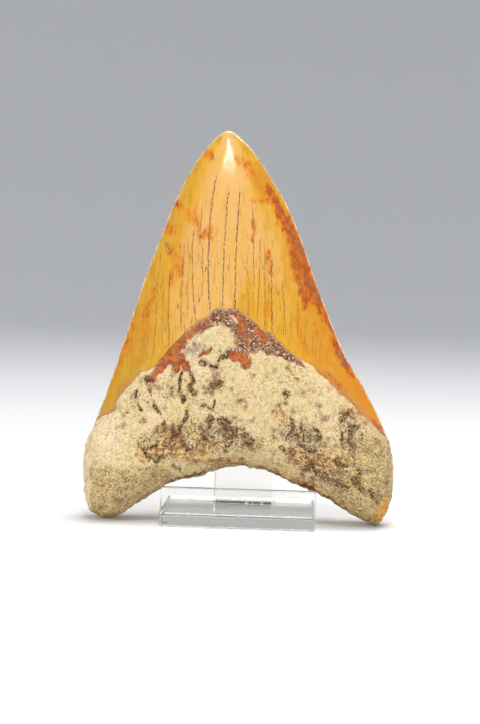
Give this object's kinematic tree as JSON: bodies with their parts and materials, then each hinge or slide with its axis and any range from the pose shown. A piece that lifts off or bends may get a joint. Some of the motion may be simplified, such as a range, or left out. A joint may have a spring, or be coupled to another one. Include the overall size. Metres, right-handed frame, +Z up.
{
  "type": "megalodon tooth on clear stand",
  "caption": "Large triangular fossil shark tooth with a crusted forked root, standing on its lobes and leaning on a small clear easel.",
  "frame": {"origin": "on the table, under the middle of the whole object's bounding box", "axes": "+Z up, +X to the right as the bulging face of the tooth is looked at, +Y away from the viewer, the way the tooth leans back"},
  "size_m": [0.103, 0.049, 0.13],
  "materials": {
    "tooth": "polished honey enamel on the crown, cream crusted root with dark pits",
    "clear_acrylic": "clear, polished"
  },
  "bodies": {
    "root": {"tooth": "tooth", "stand_base": "clear_acrylic", "stand_lip": "clear_acrylic", "stand_back_rest": "clear_acrylic"}
  },
  "joints": []
}
